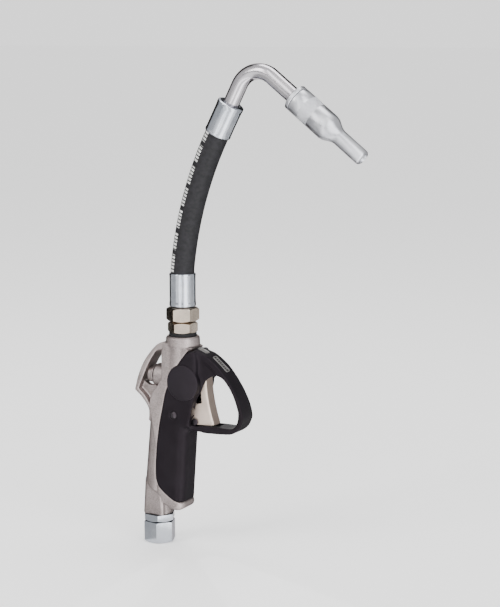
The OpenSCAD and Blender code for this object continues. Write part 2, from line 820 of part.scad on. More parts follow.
module cover_screw() {
    color("#2a2a2c") translate([screw_p[0], 0, screw_p[1]]) rotate([90, 0, 0]) union() {
        translate([0, 0, -cover_half + 1]) cylinder(r = screw_r, h = 2 * cover_half - 2.2);
        difference() {
            translate([0, 0, cover_half - 1.3]) rotate_extrude() polygon([
                [0, 0], [screw_head_r, 0], [screw_head_r, 0.8], [screw_head_r - 0.8, 1.6], [0, 2]
            ]);
            translate([0, 0, cover_half - 0.4]) hexagon(2.5, 3);
        }
    }
}

module cover_nut() {
    color("#2a2a2c") translate([screw_p[0], cover_half - 1.3, screw_p[1]]) rotate([-90, 0, 0]) difference() {
        hexagon(screw_head_r * 1.7, 1.3);
        translate([0, 0, -1]) cylinder(r = screw_r, h = 4);
    }
}

// A flat plate or its bed in the guard's outer face, centred on p and leaning with that face
module label_bed(p, a, length) {
    at(p, a) translate([-length / 2, -label_half, -label_h]) cube([length, 2 * label_half, label_h + 2]);
}

module label_plate(p, a, length) {
    at(p, a) translate([-length / 2, -label_half + label_gap, -label_h + label_gap / 2])
        cube([length, 2 * (label_half - label_gap), label_h]);
}

module upper_label_plate() {
    color("#a6a2a0") label_plate(label_1_p, label_1_lean, label_1_len);
}

module lower_label_plate() {
    color("#b5b3b1") label_plate(label_2_p, label_2_lean, label_2_len);
}

// ---- outlet and lower end of the hose ----

module outlet_adapter() {
    color("#c9bfa9") difference() {
        union() {
            at([outlet_x, collar_z - outlet_thread_len + 1])
                cylinder(r = outlet_thread_r - fit_gap, h = outlet_thread_len + 4);
            at([outlet_x, adapter_z]) rotate([0, 0, adapter_turn])
                turned_hex(adapter_af, adapter_hex_h, 2, 3.2);
            at([outlet_x, adapter_z + 1])
                cylinder(r = adapter_spigot_r - 0.4, h = adapter_hex_h + adapter_spigot_len - 1);
        }
        at([outlet_x, valve_z]) cylinder(r = adapter_bore_r, h = tail_z - valve_z + bore_past);
    }
}

module outlet_seal_ring() {
    color("#1b1b1d") at([outlet_x, collar_z - seal_ring_depth])
        tube(collar_r - 3.3, outlet_thread_r + fit_gap, seal_ring_h + seal_ring_depth);
}

module hose_nut() {
    color("#cfc4ab") difference() {
        at([outlet_x, nut_z]) rotate([0, 0, hose_nut_turn])
            turned_hex(hose_nut_af, hose_nut_h, 3, 3.4);
        at([outlet_x, nut_z - 1]) cylinder(r = adapter_spigot_r - 0.35, h = adapter_spigot_len + 3.4);
        at([outlet_x, nut_z]) cylinder(r = tail_r + run_gap, h = 40);
    }
}

module hose_tail() {
    color("#d3d6d8") difference() {
        union() {
            at([outlet_x, tail_z + part_gap]) cylinder(r = adapter_spigot_r - 0.7, h = 1.8);
            at([outlet_x, tail_z + part_gap])
                cylinder(r = tail_r, h = ferrule_z + ferrule_floor - 0.4 - tail_z);
            at([outlet_x, tail_z + 2])
                cylinder(r = hose_bore_r - fit_gap, h = ferrule_z + ferrule_len - 2 - tail_z);
        }
        at([outlet_x, tail_z - bore_past])
            cylinder(r = tail_bore_r, h = ferrule_z + ferrule_len - tail_z + 2 * bore_past);
    }
}

// A crimped ferrule, open at the hose end; its own +Z points towards that end
module ferrule(neck) {
    difference() {
        rotate_extrude() polygon([
            [0, 0], [ferrule_r - 1.2, 0], [ferrule_r, 1.2], [ferrule_r, ferrule_len - 1.4],
            [ferrule_r - 0.9, ferrule_len], [0, ferrule_len]
        ]);
        translate([0, 0, -bore_past]) cylinder(r = neck, h = ferrule_len);
        translate([0, 0, ferrule_floor]) cylinder(r = hose_r + run_gap, h = ferrule_bore_len + bore_past);
    }
}

module lower_ferrule() {
    color("#cfd3d6") at([outlet_x, ferrule_z]) ferrule(tail_r + fit_gap);
}

// Core of the hose at radius r; the stretches overlap a little, each a touch slimmer than the last
module hose_run(r, extra) {
    at([outlet_x, hose_z - hose_grip - extra]) cylinder(r = r, h = hose_grip + extra + join_lap);
    at(hose_p0) bent_bar(hose_bend_1, hose_turn_1 + 0.3, r - join_step);
    at(hose_p1, hose_turn_1) bent_bar(hose_bend_2, hose_turn_2, r - 2 * join_step);
    at(hose_p2, lean) translate([0, 0, -join_lap]) cylinder(r = r, h = hose_grip + extra + join_lap);
}

module hose() {
    color("#1d1c1f") difference() {
        hose_run(hose_r, 0);
        hose_run(hose_bore_r + 2 * join_step, 1);
    }
}

// ---- upper end of the hose and the tube ----

module upper_hose_insert() {
    color("#d3d6d8") at(hose_p2, lean) difference() {
        union() {
            translate([0, 0, 2]) cylinder(r = hose_bore_r - fit_gap, h = ferrule_len - 2);
            translate([0, 0, ferrule_bore_len]) cylinder(r = tail_r, h = ferrule_floor);
        }
        translate([0, 0, -bore_past]) cylinder(r = tail_bore_r, h = ferrule_len + 2 * bore_past);
    }
}

module upper_ferrule() {
    color("#cfd3d6") at(ferrule2_p, lean + 180) ferrule(tail_r + fit_gap);
}

// Core of the bent tube at radius r
module tube_run(r, extra) {
    at(ferrule2_p, lean) translate([0, 0, -extra]) cylinder(r = r, h = tube_leg_1 + extra + join_lap);
    at(bend_p, lean) bent_bar(tube_bend, tube_turn, r - join_step);
    at(bend_q, tip_heading) translate([0, 0, -join_lap])
        cylinder(r = r, h = tube_leg_2 + tip_collar_len + tip_socket_len + extra + join_lap);
}

module spout_tube() {
    color("#e2e5e8") difference() {
        tube_run(tube_r, 0);
        tube_run(tube_bore_r, 1);
    }
}

// ---- shut-off tip; its own +Z points to the outlet ----

module in_tip() {
    at(tip_p, tip_heading) children();
}

module tip_collar() {
    color("#dfe3e6") in_tip() difference() {
        union() {
            rotate_extrude() polygon([
                [0, 0], [tip_r - 2, 0], [tip_r, 1.2], [tip_r, tip_collar_len - 0.6],
                [tip_r - 0.6, tip_collar_len], [0, tip_collar_len]
            ]);
            cylinder(r = tip_core_r, h = tip_core_len);
        }
        translate([0, 0, -bore_past])
            cylinder(r = tube_r + fit_gap, h = tip_collar_len + tip_socket_len + bore_past);
        translate([0, 0, bore_past]) cylinder(r = tube_bore_r, h = tip_core_len);
        translate([0, 0, tip_groove_s]) tube(tip_core_r + 1, tip_core_r - tip_groove_depth, tip_groove_len);
    }
}

module tip_o_ring() {
    color("#1c1c1c") in_tip() translate([0, 0, tip_groove_s + tip_groove_len / 2])
        o_ring(tip_core_r + 0.03 - tip_ring_r, tip_ring_r);
}

module tip_sleeve() {
    color("#dadee1") in_tip() difference() {
        rotate_extrude() polygon(concat(
            [[0, sleeve_z], [tip_r - 0.6, sleeve_z], [tip_r, sleeve_z + 0.6], [tip_r, tip_taper_s]],
            [for (k = [1:11]) [
                tip_end_r + (tip_r - tip_end_r) * (1 + cos(k * 15)) / 2,
                tip_taper_s + tip_taper_len * k / 12
            ]],
            [[tip_end_r, tip_taper_s + tip_taper_len], [tip_end_r, tip_len - 2], [tip_end_r - 1.4, tip_len]],
            [[0, tip_len]]
        ));
        translate([0, 0, sleeve_z - 1]) cylinder(r = tip_core_r + run_gap, h = tip_core_len - sleeve_z + 5);
        translate([0, 0, 20]) cylinder(r = tip_seat_bore_r, h = tip_len);
        translate([0, 0, tip_seat_s]) cylinder(r = tip_bore_r, h = tip_len);
        for (s = [knurl_start - groove_w, knurl_start + knurl_len])
            translate([0, 0, s]) tube(tip_r + 1, tip_r - groove_depth, groove_w);
    }
}

module tip_poppet() {
    color("#b79a5e") in_tip() difference() {
        union() {
            translate([0, 0, tip_stem_s])
                cylinder(r = tip_stem_r, h = tip_seat_s + seat_gap - tip_stem_s + 1);
            translate([0, 0, tip_seat_s + seat_gap]) rotate_extrude() polygon([
                [0, 0], [tip_head_r, 0], [tip_head_r, 2], [tip_stem_r, 6], [0, 6]
            ]);
            for (a = [0, 60, 120]) rotate([0, 0, a]) translate([-tip_guide_half, -0.6, tip_guide_s])
                cube([2 * tip_guide_half, 1.2, 10]);
        }
        translate([0, 0, tip_stem_s - 1]) cylinder(r = 0.5, h = 3);
    }
}

inlet_nut();
inlet_washer();
inlet_swivel_body();
nut_retaining_ring();
inlet_seal();
inlet_strainer();
body_casting();
valve_rear_plug();
rear_plug_o_ring();
valve_spring();
valve_poppet();
valve_seal();
valve_seat();
valve_stem();
stem_gland();
stem_o_ring();
trigger();
trigger_pivot_pin();
hold_open_latch();
latch_pin();
left_cover();
right_cover();
left_side_cap();
right_side_cap();
cover_screw();
cover_nut();
upper_label_plate();
lower_label_plate();
outlet_adapter();
outlet_seal_ring();
hose_nut();
hose_tail();
lower_ferrule();
hose();
upper_hose_insert();
upper_ferrule();
spout_tube();
tip_collar();
tip_o_ring();
tip_sleeve();
tip_poppet();
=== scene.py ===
import json
import math

import bmesh
import bpy
import numpy as np
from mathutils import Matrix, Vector


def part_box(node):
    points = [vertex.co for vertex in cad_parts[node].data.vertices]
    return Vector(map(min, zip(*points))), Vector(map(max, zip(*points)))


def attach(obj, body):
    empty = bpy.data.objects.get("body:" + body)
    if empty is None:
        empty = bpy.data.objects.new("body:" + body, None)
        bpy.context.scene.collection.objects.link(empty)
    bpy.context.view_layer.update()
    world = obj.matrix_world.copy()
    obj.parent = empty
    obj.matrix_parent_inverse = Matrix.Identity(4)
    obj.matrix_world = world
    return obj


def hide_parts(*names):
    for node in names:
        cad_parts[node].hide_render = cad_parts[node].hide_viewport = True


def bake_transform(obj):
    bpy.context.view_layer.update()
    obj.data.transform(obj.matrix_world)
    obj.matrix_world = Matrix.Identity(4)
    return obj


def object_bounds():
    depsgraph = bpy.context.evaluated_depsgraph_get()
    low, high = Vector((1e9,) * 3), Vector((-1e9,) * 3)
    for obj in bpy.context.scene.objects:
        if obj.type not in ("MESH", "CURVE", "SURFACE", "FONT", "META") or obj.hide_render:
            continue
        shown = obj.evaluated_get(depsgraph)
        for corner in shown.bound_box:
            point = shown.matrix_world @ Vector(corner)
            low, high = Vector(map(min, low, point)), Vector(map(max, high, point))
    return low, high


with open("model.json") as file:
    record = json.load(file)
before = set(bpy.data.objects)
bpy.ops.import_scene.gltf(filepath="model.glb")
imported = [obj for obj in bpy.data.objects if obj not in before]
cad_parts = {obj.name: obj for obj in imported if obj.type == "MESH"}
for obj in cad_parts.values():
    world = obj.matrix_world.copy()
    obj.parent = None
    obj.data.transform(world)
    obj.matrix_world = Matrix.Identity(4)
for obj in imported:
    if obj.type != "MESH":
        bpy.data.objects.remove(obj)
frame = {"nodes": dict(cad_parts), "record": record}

cadLow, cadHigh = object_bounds()
mm = 0.001
nodes = frame["nodes"]
slotOf = {part["node"]: part["material_slot"] for part in frame["record"]["subparts"]}
bodyOf = {node: body for body, group in frame["record"]["behaviour"]["bodies"].items() for node in group}
jointOf = {joint["name"]: joint for joint in frame["record"]["behaviour"]["joints"]}
print("frame loaded,", len(nodes), "nodes")

cameraSetup = {
    "azimuth": 29, "distance": 1.5, "height": 0.486, "shiftRight": 0.0872, "pitch": 9.64,
    "lens": 95.55, "sensor": 36,
}


def makeCamera():
    turn, pitch = math.radians(cameraSetup["azimuth"]), math.radians(cameraSetup["pitch"])
    right = Vector((math.cos(turn), math.sin(turn), 0))
    back = Vector((math.sin(turn), -math.cos(turn), 0))
    data = bpy.data.cameras.new("camera")
    data.lens, data.sensor_width, data.clip_end = cameraSetup["lens"], cameraSetup["sensor"], 100
    camera = bpy.data.objects.new("camera", data)
    camera.location = (back * cameraSetup["distance"] + right * cameraSetup["shiftRight"]
                       + Vector((0, 0, cameraSetup["height"])))
    camera.rotation_euler = (math.pi / 2 - pitch, 0, turn)
    bpy.context.collection.objects.link(camera)
    bpy.context.scene.camera = camera


studio = {
    "floorDrop": 0.0005, "floorSize": 40, "floorColor": (0.95, 0.95, 0.95), "floorGlow": 0.35,
    "skyRound": [  # light round the object: share of a turn, brightness
        (0.0, 2.9), (0.03, 0.75), (0.10, 0.62), (0.17, 0.9), (0.25, 0.5), (0.29, 0.12), (0.365, 0.10),
        (0.38, 1.5), (0.46, 1.5), (0.475, 0.12), (0.56, 0.16), (0.60, 0.55), (0.70, 0.8), (0.80, 0.85),
        (0.83, 3.0), (0.895, 3.0), (0.905, 0.5), (0.93, 0.5), (0.94, 2.9), (1.0, 2.9),
    ],
    "skyTop": 1.25, "strength": 1.0,
    "lights": [  # name, place, size, power, tint
        ("keyLight", (-0.9, -1.5, 1.4), (0.9, 1.3), 26, (1.0, 0.985, 0.965)),
        ("sideLight", (1.8, -0.6, 0.8), (0.5, 1.6), 12, (0.96, 0.98, 1.0)),
        ("topLight", (0.1, 0.4, 1.9), (1.2, 0.8), 16, (1, 1, 1)),
    ],
    "cardRadius": 0.55, "cardHeight": 1.3, "cardMiddle": (0.03, 0.0), "cardToe": 0.045,
    "cards": [  # only mirrored, never lighting: name, degrees from straight behind to the right, brightness
        ("darkRight", (13, 56), 0.0), ("greyRight", (62, 108), 0.95), ("stripRight", (138, 166), 5.5),
        ("darkLeft", (-13, -64), 0.0), ("greyLeft", (-68, -122), 0.85), ("stripLeft", (-152, -168), 4.5),
    ],
}


def makeStudio():
    mesh = bpy.data.meshes.new("floor")
    half, z = studio["floorSize"], cadLow[2] - studio["floorDrop"]
    corners = [(-half, -half, z), (half, -half, z), (half, half, z), (-half, half, z)]
    mesh.from_pydata(corners, [], [(0, 1, 2, 3)])
    floor = bpy.data.objects.new("floor", mesh)
    bpy.context.collection.objects.link(floor)
    paint = bpy.data.materials.new("floorPaint")
    paint.use_nodes = True
    shader = paint.node_tree.nodes["Principled BSDF"]
    shader.inputs["Base Color"].default_value = (*studio["floorColor"], 1)
    shader.inputs["Roughness"].default_value = 0.9
    shader.inputs["Emission Color"].default_value = (1, 1, 1, 1)
    shader.inputs["Emission Strength"].default_value = studio["floorGlow"]
    mesh.materials.append(paint)
    aim = Vector((0.05, 0, 0.25))
    for name, place, size, power, tint in studio["lights"]:
        data = bpy.data.lights.new(name, "AREA")
        data.shape, data.size, data.size_y = "RECTANGLE", size[0], size[1]
        data.energy, data.color = power, tint
        light = bpy.data.objects.new(name, data)
        light.location = place
        light.rotation_euler = (Vector(place) - aim).to_track_quat("Z", "Y").to_euler()
        bpy.context.collection.objects.link(light)


def makeCards():
    # curved cards round the object: dark, grey and bright bands for polished metal to mirror
    turn = math.radians(cameraSetup["azimuth"])
    right, behind = Vector((math.cos(turn), math.sin(turn), 0)), Vector((-math.sin(turn), math.cos(turn), 0))
    centre = Vector((*studio["cardMiddle"], cadLow[2]))
    for name, (start, stop), light in studio["cards"]:
        points, faces = [], []
        for k in range(13):
            angle = math.radians(start + (stop - start) * k / 12)
            way = behind * math.cos(angle) + right * math.sin(angle)
            foot = centre + way * studio["cardRadius"]
            points += [centre + way * studio["cardToe"], foot, foot + Vector((0, 0, studio["cardHeight"]))]
            if k:
                faces += [(3 * k - 3, 3 * k, 3 * k + 1, 3 * k - 2),
                          (3 * k - 2, 3 * k + 1, 3 * k + 2, 3 * k - 1)]
        mesh = bpy.data.meshes.new(name)
        mesh.from_pydata(points, [], faces)
        card = bpy.data.objects.new(name, mesh)
        bpy.context.collection.objects.link(card)
        card.visible_camera = card.visible_diffuse = card.visible_shadow = False
        paint = bpy.data.materials.new(name + "Paint")
        paint.use_nodes = True
        shader = paint.node_tree.nodes["Principled BSDF"]
        shader.inputs["Base Color"].default_value = (0.01, 0.01, 0.01, 1)
        shader.inputs["Specular IOR Level"].default_value = 0.0
        shader.inputs["Emission Color"].default_value = (1, 1, 1, 1)
        shader.inputs["Emission Strength"].default_value = light
        mesh.materials.append(paint)


def blendOf(tree, share, first, second):
    # mixes two colours, each a socket or three numbers
    mix = tree.nodes.new("ShaderNodeMix")
    mix.data_type = "RGBA"
    tree.links.new(share, mix.inputs[0])
    for socket, colour in ((mix.inputs[6], first), (mix.inputs[7], second)):
        if isinstance(colour, tuple):
            socket.default_value = (*colour, 1)
        else:
            tree.links.new(colour, socket)
    return mix.outputs[2]


def makeSky():
    # panels of light with darker gaps between them, so that bright metal has something to mirror
    world = bpy.data.worlds.new("studioSky")
    bpy.context.scene.world = world
    world.use_nodes = True
    tree = world.node_tree
    where = tree.nodes.new("ShaderNodeTexCoord")
    split = tree.nodes.new("ShaderNodeSeparateXYZ")
    tree.links.new(where.outputs["Generated"], split.inputs[0])
    turn = tree.nodes.new("ShaderNodeMath")
    turn.operation = "ARCTAN2"
    tree.links.new(split.outputs["X"], turn.inputs[0])
    tree.links.new(split.outputs["Y"], turn.inputs[1])
    share = tree.nodes.new("ShaderNodeMapRange")
    share.inputs["From Min"].default_value, share.inputs["From Max"].default_value = -math.pi, math.pi
    tree.links.new(turn.outputs[0], share.inputs["Value"])
    ramp = tree.nodes.new("ShaderNodeValToRGB")
    stops = ramp.color_ramp.elements
    most = max(light for place, light in studio["skyRound"])
    for k, (place, light) in enumerate(studio["skyRound"]):
        stop = stops[0] if k == 0 else stops[-1] if k == len(studio["skyRound"]) - 1 else stops.new(place)
        stop.position, stop.color = place, (light / most, light / most, light / most, 1)
    tree.links.new(share.outputs["Result"], ramp.inputs[0])
    high = tree.nodes.new("ShaderNodeMapRange")
    high.inputs["From Min"].default_value, high.inputs["From Max"].default_value = 0.35, 0.9
    tree.links.new(split.outputs["Z"], high.inputs["Value"])
    top = studio["skyTop"] / most
    back = tree.nodes["Background"]
    sky = blendOf(tree, high.outputs["Result"], ramp.outputs["Color"], (top, top, top))
    tree.links.new(sky, back.inputs["Color"])
    back.inputs["Strength"].default_value = studio["strength"] * most


makeCamera()
makeStudio()
makeCards()
makeSky()
print("camera and studio ready")


def newPaint(name, look):
    paint = bpy.data.materials.new(name)
    paint.use_nodes = True
    tree = paint.node_tree
    shader = tree.nodes["Principled BSDF"]
    for socket, value in look.items():
        shader.inputs[socket].default_value = (*value, 1) if isinstance(value, tuple) else value
    return paint, tree, shader


def place(tree, uv=False, stretch=(1, 1, 1)):
    # where a point is: on the piece itself, or along a piece's own unwrapped length
    where = tree.nodes.new("ShaderNodeTexCoord")
    size = tree.nodes.new("ShaderNodeMapping")
    size.inputs["Scale"].default_value = stretch
    tree.links.new(where.outputs["UV" if uv else "Object"], size.inputs["Vector"])
    return size.outputs["Vector"]


def grain(tree, where, scale, detail=3.0, rough=0.55):
    node = tree.nodes.new("ShaderNodeTexNoise")
    node.inputs["Scale"].default_value = scale
    node.inputs["Detail"].default_value = detail
    node.inputs["Roughness"].default_value = rough
    tree.links.new(where, node.inputs["Vector"])
    return node.outputs["Fac"]


def fade(tree, value, low, high, start=0.35, stop=0.65):
    # turns a 0 to 1 value into a range of numbers or colours
    ramp = tree.nodes.new("ShaderNodeMapRange" if not isinstance(low, tuple) else "ShaderNodeValToRGB")
    if isinstance(low, tuple):
        stops = ramp.color_ramp.elements
        stops[0].position, stops[0].color = start, (*low, 1)
        stops[1].position, stops[1].color = stop, (*high, 1)
        tree.links.new(value, ramp.inputs[0])
        return ramp.outputs["Color"]
    ramp.inputs["From Min"].default_value, ramp.inputs["From Max"].default_value = start, stop
    ramp.inputs["To Min"].default_value, ramp.inputs["To Max"].default_value = low, high
    tree.links.new(value, ramp.inputs["Value"])
    return ramp.outputs["Result"]


def raised(tree, shader, height, depth, under=None):
    # depth is in metres
    node = tree.nodes.new("ShaderNodeBump")
    node.inputs["Strength"].default_value = 1.0
    node.inputs["Distance"].default_value = depth
    tree.links.new(height, node.inputs["Height"])
    if under is not None:
        tree.links.new(under, node.inputs["Normal"])
    tree.links.new(node.outputs["Normal"], shader.inputs["Normal"])
    return node.outputs["Normal"]


def mathOf(tree, kind, a, b=None):
    node = tree.nodes.new("ShaderNodeMath")
    node.operation = kind
    for socket, value in zip(node.inputs, (a, b)):
        if isinstance(value, (int, float)):
            socket.default_value = value
        elif value is not None:
            tree.links.new(value, socket)
    return node.outputs[0]


def metalPaint(name, light, dark, rough, blotch=60, fine=1500, depth=0.000004, stretch=(1, 1, 1),
               edge=(0.5, 0.48, 0.48)):
    # plated or ground metal: soft blotches in colour and gloss, fine scratches along the stretch
    paint, tree, shader = newPaint(name, {"Metallic": 1.0, "Specular Tint": edge})
    where = place(tree)
    wide = grain(tree, where, blotch)
    small = grain(tree, place(tree, stretch=stretch), fine, 4)
    tree.links.new(fade(tree, wide, dark, light), shader.inputs["Base Color"])
    both = mathOf(tree, "MULTIPLY", mathOf(tree, "ADD", wide, small), 0.5)
    tree.links.new(fade(tree, both, rough * 0.8, rough * 1.25), shader.inputs["Roughness"])
    raised(tree, shader, small, depth)
    return paint


def castPaint():
    look = {
        "light": (0.43, 0.375, 0.365), "dark": (0.20, 0.172, 0.168), "edge": (0.5, 0.46, 0.46),
        "grainSize": 1150, "grainDepth": 0.00012,
    }
    paint, tree, shader = newPaint("blastedNickelCasting", {"Metallic": 0.95, "Specular Tint": look["edge"]})
    where = place(tree)
    wide, pits = grain(tree, where, 45), grain(tree, where, look["grainSize"], 5, 0.6)
    tone = mathOf(tree, "ADD", mathOf(tree, "MULTIPLY", wide, 0.4), mathOf(tree, "MULTIPLY", pits, 0.6))
    tree.links.new(fade(tree, tone, look["dark"], look["light"]), shader.inputs["Base Color"])
    tree.links.new(fade(tree, pits, 0.34, 0.5), shader.inputs["Roughness"])
    raised(tree, shader, pits, look["grainDepth"])
    return paint


def mouldingPaint(name, base, sheen, rough, depth, shine=0.12):
    # black moulded nylon: spark-eroded skin with slightly rubbed, glossier blotches
    paint, tree, shader = newPaint(name, {"Specular IOR Level": shine, "Specular Tint": (1.0, 0.84, 0.96)})
    where = place(tree)
    wide, skin = grain(tree, where, 35, 2), grain(tree, where, 2200, 4, 0.7)
    tree.links.new(fade(tree, wide, base, sheen, 0.3, 0.7), shader.inputs["Base Color"])
    both = mathOf(tree, "MULTIPLY", mathOf(tree, "ADD", wide, skin), 0.5)
    tree.links.new(fade(tree, both, rough * 0.85, rough * 1.15), shader.inputs["Roughness"])
    raised(tree, shader, skin, depth)
    return paint


def rubberPaint():
    paint, tree, shader = newPaint("sealRubber", {"Specular IOR Level": 0.15})
    where = place(tree)
    dust = grain(tree, where, 700, 4)
    cover = fade(tree, dust, (0.006, 0.006, 0.0065), (0.014, 0.014, 0.015))
    tree.links.new(cover, shader.inputs["Base Color"])
    tree.links.new(fade(tree, dust, 0.5, 0.7), shader.inputs["Roughness"])
    raised(tree, shader, dust, 0.00002)
    return paint


def hosePaint():
    # u runs once round the hose and v along it in metres: cloth print, a winding seam and a line of plain bars
    look = {
        "around": 0.0644, "weave": 1100, "seamPitch": 0.062, "seamWidth": 0.035,
        "lineAt": 0.165, "lineWidth": 0.04, "barPitch": 0.0031, "barShare": 0.6,
        "groupPitch": 0.021, "groupShare": 0.8, "ink": (0.75, 0.75, 0.74),
    }
    paint, tree, shader = newPaint("wrappedHoseRubber", {"Specular IOR Level": 0.2})
    split = tree.nodes.new("ShaderNodeSeparateXYZ")
    tree.links.new(place(tree, uv=True), split.inputs[0])
    u, v = split.outputs["X"], split.outputs["Y"]
    lap = mathOf(tree, "MULTIPLY", u, look["around"])

    def threads(way):
        run = mathOf(tree, "MULTIPLY", mathOf(tree, way, v, lap), look["weave"] * 2 * math.pi)
        return mathOf(tree, "SINE", run)

    def inShare(pitch, share):
        return mathOf(tree, "LESS_THAN", mathOf(tree, "FRACT", mathOf(tree, "DIVIDE", v, pitch)), share)

    cloth = mathOf(tree, "MULTIPLY", mathOf(tree, "ADD", threads("ADD"), threads("SUBTRACT")), 0.25)
    turns = mathOf(tree, "ADD", mathOf(tree, "DIVIDE", v, look["seamPitch"]), u)
    off = mathOf(tree, "ABSOLUTE", mathOf(tree, "SUBTRACT", mathOf(tree, "FRACT", turns), 0.5))
    seam = mathOf(tree, "LESS_THAN", off, look["seamWidth"])
    dust = grain(tree, place(tree, uv=True, stretch=(0.06, 1, 1)), 260, 5)
    side = mathOf(tree, "ABSOLUTE", mathOf(tree, "SUBTRACT", u, look["lineAt"]))
    inLine = mathOf(tree, "LESS_THAN", side, look["lineWidth"])
    bars = inShare(look["barPitch"], look["barShare"])
    worn = mathOf(tree, "MULTIPLY", inShare(look["groupPitch"], look["groupShare"]), fade(tree, dust, 0.5, 1.0))
    ink = mathOf(tree, "MULTIPLY", mathOf(tree, "MULTIPLY", inLine, bars), worn)
    cover = fade(tree, dust, (0.005, 0.005, 0.006), (0.015, 0.014, 0.017))
    tree.links.new(blendOf(tree, ink, cover, look["ink"]), shader.inputs["Base Color"])
    tree.links.new(fade(tree, dust, 0.42, 0.62), shader.inputs["Roughness"])
    woven, sunk = mathOf(tree, "MULTIPLY", cloth, 0.5), mathOf(tree, "MULTIPLY", seam, 0.8)
    height = mathOf(tree, "SUBTRACT", woven, sunk)
    raised(tree, shader, height, 0.00018)
    return paint


def triggerPaint():
    # satin nickel plate; the bent front face is painted darker: painted shade on the side turned away from the key
    # light
    look = {
        # front is the colour of the painted shade on the bent front face; light and dark vary at random
        "light": (0.62, 0.52, 0.45), "dark": (0.50, 0.415, 0.355), "front": (0.27, 0.215, 0.185),
        "frontShadeEdge": (0.80, 0.95),
    }
    paint, tree, shader = newPaint("satinNickelPlate", {"Metallic": 0.85})
    where = place(tree)
    wide, fine = grain(tree, where, 70), grain(tree, where, 1800, 4)
    turned = tree.nodes.new("ShaderNodeSeparateXYZ")
    tree.links.new(tree.nodes.new("ShaderNodeTexCoord").outputs["Normal"], turned.inputs[0])
    # painted shade: faces turned forward blend from the plate colour to the darker front colour
    frontShadeMask = fade(tree, turned.outputs["X"], 0.0, 1.0, *look["frontShadeEdge"])
    plate = fade(tree, wide, look["dark"], look["light"])
    tree.links.new(blendOf(tree, frontShadeMask, plate, look["front"]), shader.inputs["Base Color"])
    tree.links.new(fade(tree, fine, 0.42, 0.56), shader.inputs["Roughness"])
    raised(tree, shader, fine, 0.00001)
    return paint


paints = {
    "zinc_bright": metalPaint("brightZinc", (0.47, 0.49, 0.53), (0.37, 0.395, 0.44), 0.2,
                              fine=900, stretch=(1, 1, 0.2)),
    "cast_nickel": castPaint(),
    "warm_nickel": metalPaint("warmNickel", (0.52, 0.455, 0.385), (0.41, 0.35, 0.29), 0.18, fine=1200),
    "chrome_tube": metalPaint("brightChrome", (0.50, 0.48, 0.50), (0.40, 0.38, 0.41), 0.19,
                              blotch=40, fine=700),
    "steel_pin": metalPaint("groundSteel", (0.62, 0.63, 0.65), (0.48, 0.49, 0.51), 0.3),
    "brass": metalPaint("turnedBrass", (0.78, 0.62, 0.34), (0.62, 0.47, 0.23), 0.26),
    "spring_steel": metalPaint("springWire", (0.55, 0.56, 0.58), (0.40, 0.41, 0.43), 0.35),
    "strainer_mesh": metalPaint("strainerGauze", (0.70, 0.58, 0.34), (0.5, 0.4, 0.22), 0.4),
    "label_grey": metalPaint("labelPlate", (0.32, 0.31, 0.305), (0.24, 0.235, 0.23), 0.42,
                             fine=2000, stretch=(1, 0.15, 1)),
    "black_steel": mouldingPaint("blackenedSteel", (0.004, 0.004, 0.0045), (0.010, 0.009, 0.011),
                                 0.3, 0.00001, 0.45),
    "black_moulding": mouldingPaint("blackNylon", (0.0038, 0.003, 0.004), (0.008, 0.0066, 0.0086),
                                    0.46, 0.00004),
    "cap_moulding": mouldingPaint("blackNylonSmooth", (0.004, 0.0034, 0.0045), (0.008, 0.0068, 0.009),
                                  0.38, 0.00002, 0.2),
    "seal_rubber": rubberPaint(),
    "hose_rubber": hosePaint(),
}
for node, shape in nodes.items():
    shape.data.materials.clear()
    shape.data.materials.append(paints[slotOf[node]])
print("finishes ready")


def newPiece(name, mesh, node, paint=None, sharp=35):
    # a piece that stands for a node and takes its finish
    mesh.materials.clear()
    mesh.materials.append(paint or paints[slotOf[node]])
    mesh.shade_smooth()
    mesh.set_sharp_from_angle(angle=math.radians(sharp))
    piece = bpy.data.objects.new(name, mesh)
    bpy.context.collection.objects.link(piece)
    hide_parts(node)
    return piece


def onBody(piece, node):
    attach(piece, bodyOf[node])
    return piece


def joinedMesh(node, flat=False):
    # the node's own mesh with its split corners joined again
    work = bmesh.new()
    work.from_mesh(nodes[node].data)
    bmesh.ops.remove_doubles(work, verts=work.verts, dist=0.001 * mm)
    if flat:
        bmesh.ops.dissolve_limit(work, angle_limit=math.radians(0.6), verts=work.verts, edges=work.edges)
    mesh = bpy.data.meshes.new(node)
    work.to_mesh(mesh)
    work.free()
    return mesh


def worked(mesh, *steps):
    # runs modifiers on a mesh and returns the result; each step is (kind, settings)
    piece = bpy.data.objects.new("work", mesh)
    bpy.context.collection.objects.link(piece)
    for kind, settings in steps:
        modifier = piece.modifiers.new(kind, kind)
        for key, value in settings.items():
            setattr(modifier, key, value)
    done = bpy.data.meshes.new_from_object(piece.evaluated_get(bpy.context.evaluated_depsgraph_get()))
    bpy.data.objects.remove(piece)
    return done


def pointsOf(mesh):
    points = np.empty(len(mesh.vertices) * 3, np.float32)
    mesh.vertices.foreach_get("co", points)
    return points.reshape(-1, 3)


def relax(mesh, passes, share=None):
    # lets every point drift to the middle of its neighbours; share says how freely, point by point
    points = pointsOf(mesh).astype(np.float64)
    edges = np.empty(len(mesh.edges) * 2, np.int32)
    mesh.edges.foreach_get("vertices", edges)
    a, b = edges.reshape(-1, 2).T
    count = np.bincount(a, minlength=len(points)) + np.bincount(b, minlength=len(points))
    pull = 0.5 if share is None else 0.5 * share[:, None]
    for _ in range(passes):
        total = np.stack([
            np.bincount(a, points[b, k], len(points)) + np.bincount(b, points[a, k], len(points)) for k in range(3)
        ], axis=1)
        points += pull * (total / np.maximum(count, 1)[:, None] - points)
    mesh.vertices.foreach_set("co", points.astype(np.float32).ravel())
    mesh.update()


def ease(value, low, high):
    # 0 below low, 1 above high, smooth between
    t = np.clip((value - low) / (high - low), 0, 1)
    return t * t * (3 - 2 * t)


